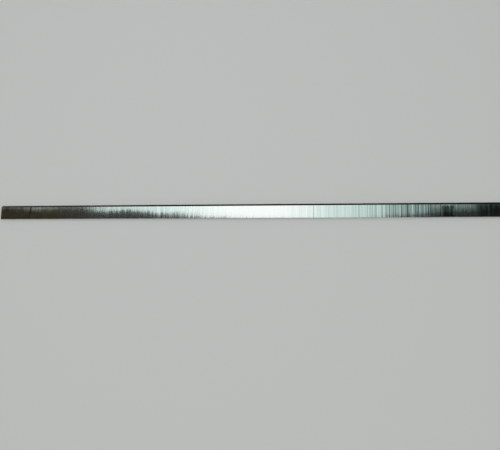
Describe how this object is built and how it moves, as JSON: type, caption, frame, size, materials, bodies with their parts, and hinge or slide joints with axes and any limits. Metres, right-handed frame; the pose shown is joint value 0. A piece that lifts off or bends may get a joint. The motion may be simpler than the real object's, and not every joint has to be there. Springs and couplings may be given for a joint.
{
  "type": "planer knife",
  "caption": "Long flat ground-steel strip with one bevelled cutting edge, clamped in the slot of a wood planer's cutterhead.",
  "frame": {"origin": "middle of the flat back, halfway along and halfway across the knife", "axes": "+X along the knife, +Y across it towards the cutting edge, +Z through it and out of the bevelled side"},
  "size_m": [1.05, 0.03, 0.003],
  "materials": {
    "ground_steel": "bright surface-ground high-speed steel, ground across the knife"
  },
  "bodies": {
    "root": {"planer_knife": "ground_steel"}
  },
  "joints": []
}
